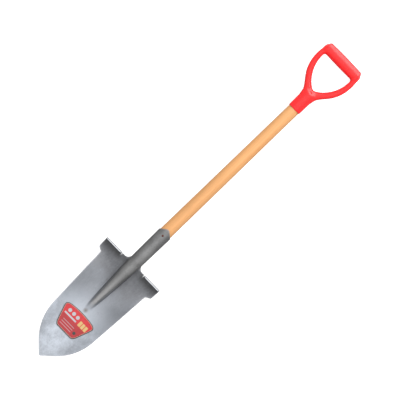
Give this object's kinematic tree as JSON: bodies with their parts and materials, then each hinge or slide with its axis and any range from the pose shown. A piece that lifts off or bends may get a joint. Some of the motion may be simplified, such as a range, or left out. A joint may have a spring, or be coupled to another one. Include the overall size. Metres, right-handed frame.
{
  "type": "round point shovel",
  "caption": "D-handled round point shovel: pressed steel blade with a raised frog and rolled socket, turned treads, wooden shaft and moulded grip.",
  "frame": {"origin": "centre of the footprint of the shovel lying on its back, at the surface it lies on", "axes": "+X along the shaft from the blade's point to the grip, +Y to the left of someone looking along +X with the face up, +Z out of the blade's face"},
  "size_m": [1.0202, 0.1802, 0.0644],
  "materials": {
    "blade_steel": "ground and lacquered, darker towards the socket",
    "shaft_wood": "fine sanded, waxed",
    "grip_plastic": "gloss",
    "nail_steel": "dark, slightly rusted",
    "screw_steel": "zinc plated",
    "label_film": "gloss printed film"
  },
  "bodies": {
    "root": {"blade_head": "blade_steel", "shaft": "shaft_wood", "d_grip": "grip_plastic", "socket_nail_front": "nail_steel", "socket_nail_left": "nail_steel", "socket_nail_right": "nail_steel", "grip_screw": "screw_steel", "blade_label": "label_film"}
  },
  "joints": []
}
